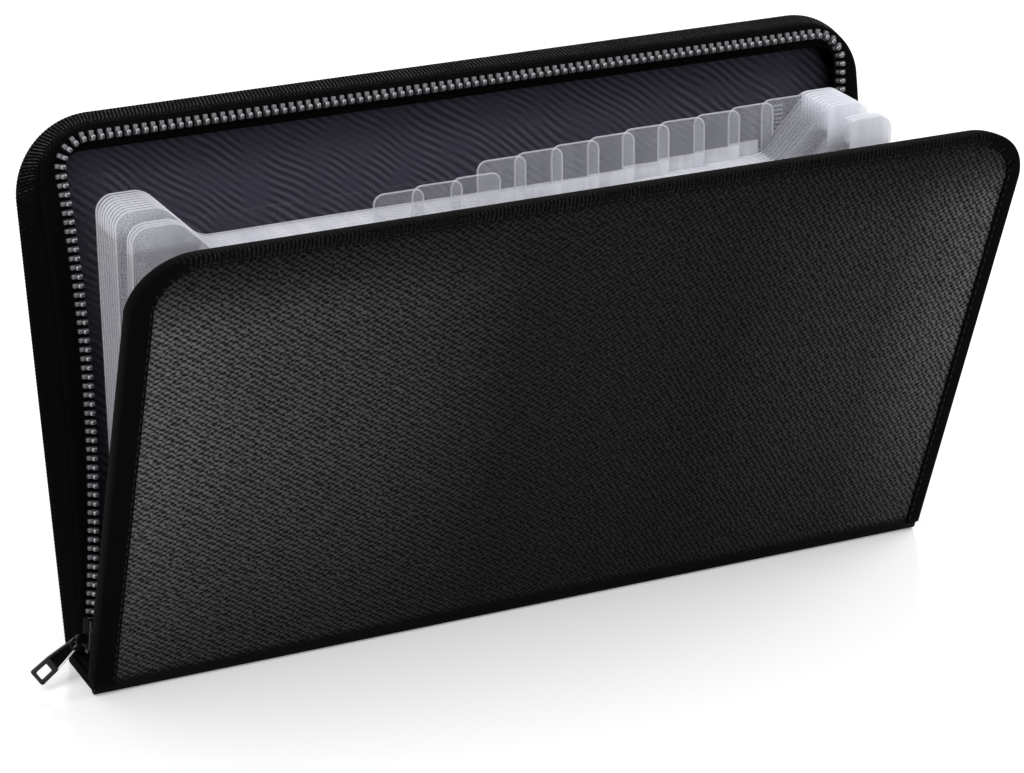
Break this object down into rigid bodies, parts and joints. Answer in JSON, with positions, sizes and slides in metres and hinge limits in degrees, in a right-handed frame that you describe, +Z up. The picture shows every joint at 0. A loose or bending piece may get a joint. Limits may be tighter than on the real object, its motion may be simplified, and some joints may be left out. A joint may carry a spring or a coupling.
{
  "type": "fireproof document pouch",
  "caption": "Zip-around expanding file wallet in coated cloth, standing open on its spine, with a clear accordion of tabbed pockets inside.",
  "frame": {"origin": "middle of the spine's underside, which is what the wallet stands on", "axes": "+X along the spine to the right, +Y from the front cover to the back cover, +Z up"},
  "size_m": [0.2848, 0.1086, 0.1547],
  "materials": {
    "outer_cloth": "silicone-coated woven cloth, fine diagonal weave, low sheen",
    "board": "plain grey wood-fibre board, hidden",
    "lining": "smooth dark slate lining with soft diagonal ripples",
    "binding": "black ribbed tape, sewn",
    "band_webbing": "black webbing with fine ribs across",
    "zip_tape": "matt black woven tape",
    "teeth_metal": "bright metal",
    "slider_metal": "polished dark metal",
    "clear_sheet": "thin clear polypropylene sheet",
    "gusset_film": "thin milky polypropylene film"
  },
  "bodies": {
    "spine": {"spine_cloth": "outer_cloth", "spine_board": "board", "spine_lining": "lining", "spine_end_binding_left": "binding", "spine_end_binding_right": "binding", "pocket_floor": "clear_sheet", "gusset_left_front_pleat": "gusset_film", "gusset_left_front_pleats": "gusset_film", "gusset_left_back_pleats": "gusset_film", "gusset_left_back_pleat": "gusset_film", "gusset_right_front_pleat": "gusset_film", "gusset_right_front_pleats": "gusset_film", "gusset_right_back_pleats": "gusset_film", "gusset_right_back_pleat": "gusset_film"},
    "front_cover": {"front_cloth": "outer_cloth", "front_board": "board", "front_lining": "lining", "front_binding": "binding", "front_zip_tape": "zip_tape", "front_zip_teeth": "teeth_metal", "front_stop_left": "teeth_metal", "front_stop_right": "teeth_metal", "pocket_sheet_front": "clear_sheet"},
    "back_cover": {"back_cloth": "outer_cloth", "back_board": "board", "back_lining": "lining", "side_band": "band_webbing", "side_band_lining": "lining", "back_zip_tape": "zip_tape", "back_zip_teeth": "teeth_metal", "back_stop_left": "teeth_metal", "back_stop_right": "teeth_metal", "pocket_sheet_back": "clear_sheet"},
    "slider": {"zip_slider": "slider_metal"},
    "pull": {"zip_pull": "slider_metal"},
    "divider_01": {"divider_01": "clear_sheet"},
    "divider_02": {"divider_02": "clear_sheet"},
    "divider_03": {"divider_03": "clear_sheet"},
    "divider_04": {"divider_04": "clear_sheet"},
    "divider_05": {"divider_05": "clear_sheet"},
    "divider_06": {"divider_06": "clear_sheet"},
    "divider_07": {"divider_07": "clear_sheet"},
    "divider_08": {"divider_08": "clear_sheet"},
    "divider_09": {"divider_09": "clear_sheet"},
    "divider_10": {"divider_10": "clear_sheet"},
    "divider_11": {"divider_11": "clear_sheet"},
    "divider_12": {"divider_12": "clear_sheet"}
  },
  "joints": [
    {"name": "front_cover_fold", "type": "hinge", "parent": "spine", "child": "front_cover", "pos_m": [0, -0.0122, 0.0018], "axis": [-1, 0, 0], "range_deg": [0, 19.3], "deforming": ["gusset_left_front_pleat", "gusset_left_front_pleats", "gusset_right_front_pleat", "gusset_right_front_pleats"]},
    {"name": "back_cover_fold", "type": "hinge", "parent": "spine", "child": "back_cover", "pos_m": [0, 0.0122, 0.0018], "axis": [1, 0, 0], "range_deg": [0, 11.2], "deforming": ["gusset_left_back_pleats", "gusset_left_back_pleat", "gusset_right_back_pleats", "gusset_right_back_pleat"]},
    {"name": "divider_01_fan", "type": "hinge", "parent": "spine", "child": "divider_01", "pos_m": [0, -0.00838, 0.0046], "axis": [-1, 0, 0], "range_deg": [0, 3.09]},
    {"name": "divider_02_fan", "type": "hinge", "parent": "spine", "child": "divider_02", "pos_m": [0, -0.00685, 0.0046], "axis": [-1, 0, 0], "range_deg": [0, 2.99]},
    {"name": "divider_03_fan", "type": "hinge", "parent": "spine", "child": "divider_03", "pos_m": [0, -0.00533, 0.0046], "axis": [-1, 0, 0], "range_deg": [0, 2.9]},
    {"name": "divider_04_fan", "type": "hinge", "parent": "spine", "child": "divider_04", "pos_m": [0, -0.00381, 0.0046], "axis": [1, 0, 0], "range_deg": [-0.002, 0.8532]},
    {"name": "divider_05_fan", "type": "hinge", "parent": "spine", "child": "divider_05", "pos_m": [0, -0.00228, 0.0046], "axis": [1, 0, 0], "range_deg": [0, 1.04]},
    {"name": "divider_06_fan", "type": "hinge", "parent": "spine", "child": "divider_06", "pos_m": [0, -0.00076, 0.0046], "axis": [1, 0, 0], "range_deg": [0, 1.23]},
    {"name": "divider_07_fan", "type": "hinge", "parent": "spine", "child": "divider_07", "pos_m": [0, 0.00076, 0.0046], "axis": [1, 0, 0], "range_deg": [0, 1.42]},
    {"name": "divider_08_fan", "type": "hinge", "parent": "spine", "child": "divider_08", "pos_m": [0, 0.00228, 0.0046], "axis": [1, 0, 0], "range_deg": [0, 1.61]},
    {"name": "divider_09_fan", "type": "hinge", "parent": "spine", "child": "divider_09", "pos_m": [0, 0.00381, 0.0046], "axis": [1, 0, 0], "range_deg": [0, 1.81]},
    {"name": "divider_10_fan", "type": "hinge", "parent": "spine", "child": "divider_10", "pos_m": [0, 0.00533, 0.0046], "axis": [1, 0, 0], "range_deg": [0, 2]},
    {"name": "divider_11_fan", "type": "hinge", "parent": "spine", "child": "divider_11", "pos_m": [0, 0.00685, 0.0046], "axis": [1, 0, 0], "range_deg": [0, 2.19]},
    {"name": "divider_12_fan", "type": "hinge", "parent": "spine", "child": "divider_12", "pos_m": [0, 0.00838, 0.0046], "axis": [1, 0, 0], "range_deg": [0, 2.38]},
    {"name": "zip_slider_run", "type": "hinge", "parent": "back_cover", "child": "slider", "pos_m": [-0.65362, 0.01407, 0.10188], "axis": [0, -0.981, 0.1942], "range_deg": [0, 13.6]},
    {"name": "zip_pull_swing", "type": "hinge", "parent": "slider", "child": "pull", "pos_m": [-0.13461, -0.00342, 0.01351], "axis": [0, 0.981, -0.1942], "range_deg": [-37, 113]}
  ],
  "couplings": [
    {"joint": "divider_01_fan", "follows": "front_cover_fold", "ratio": 0.16},
    {"joint": "divider_02_fan", "follows": "front_cover_fold", "ratio": 0.155},
    {"joint": "divider_03_fan", "follows": "front_cover_fold", "ratio": 0.15},
    {"joint": "divider_04_fan", "follows": "back_cover_fold", "ratio": 0.076},
    {"joint": "divider_05_fan", "follows": "back_cover_fold", "ratio": 0.093},
    {"joint": "divider_06_fan", "follows": "back_cover_fold", "ratio": 0.11},
    {"joint": "divider_07_fan", "follows": "back_cover_fold", "ratio": 0.127},
    {"joint": "divider_08_fan", "follows": "back_cover_fold", "ratio": 0.144},
    {"joint": "divider_09_fan", "follows": "back_cover_fold", "ratio": 0.161},
    {"joint": "divider_10_fan", "follows": "back_cover_fold", "ratio": 0.178},
    {"joint": "divider_11_fan", "follows": "back_cover_fold", "ratio": 0.195},
    {"joint": "divider_12_fan", "follows": "back_cover_fold", "ratio": 0.212}
  ]
}
